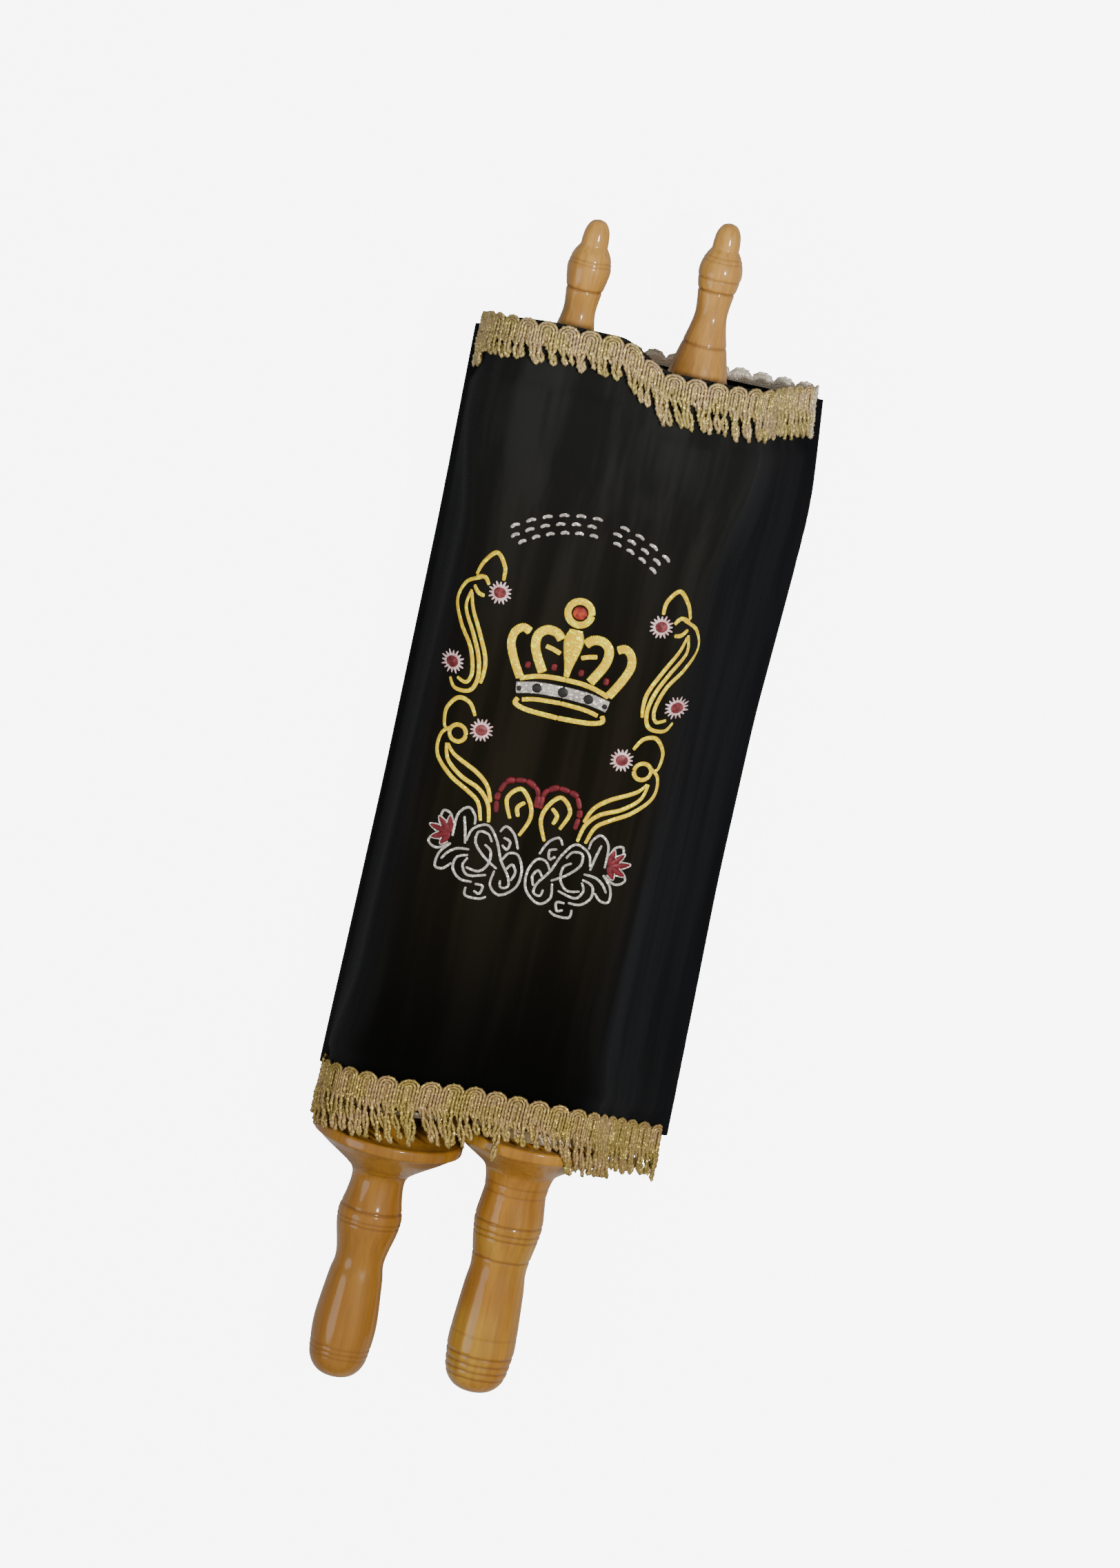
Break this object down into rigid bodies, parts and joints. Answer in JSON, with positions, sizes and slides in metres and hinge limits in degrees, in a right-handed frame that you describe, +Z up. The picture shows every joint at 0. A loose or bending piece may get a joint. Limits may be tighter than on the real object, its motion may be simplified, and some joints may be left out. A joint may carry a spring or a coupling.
{
  "type": "dressed torah scroll",
  "caption": "Small dressed scroll lying on its back: turned wooden rollers with grips, discs and finials, wound parchment, and a velvet mantle with gold looped trim and embroidery.",
  "frame": {"origin": "under the middle of the whole length and width, on the surface that the scroll lies on", "axes": "+Z up through the embroidered front, +Y from the grips to the finials, +X to the right of the front"},
  "size_m": [0.1334, 0.457, 0.0647],
  "materials": {
    "varnished_wood": "turned, honey-brown lacquer, glossy",
    "parchment": "cream sheet, matte",
    "velvet": "black velvet with flat embroidery",
    "gold_trim": "pale gold metallic gimp and loops"
  },
  "bodies": {
    "root": {"left_roller": "varnished_wood", "right_roller": "varnished_wood", "parchment": "parchment", "mantle": "velvet", "fringe_top": "gold_trim", "fringe_bottom": "gold_trim"}
  },
  "joints": []
}
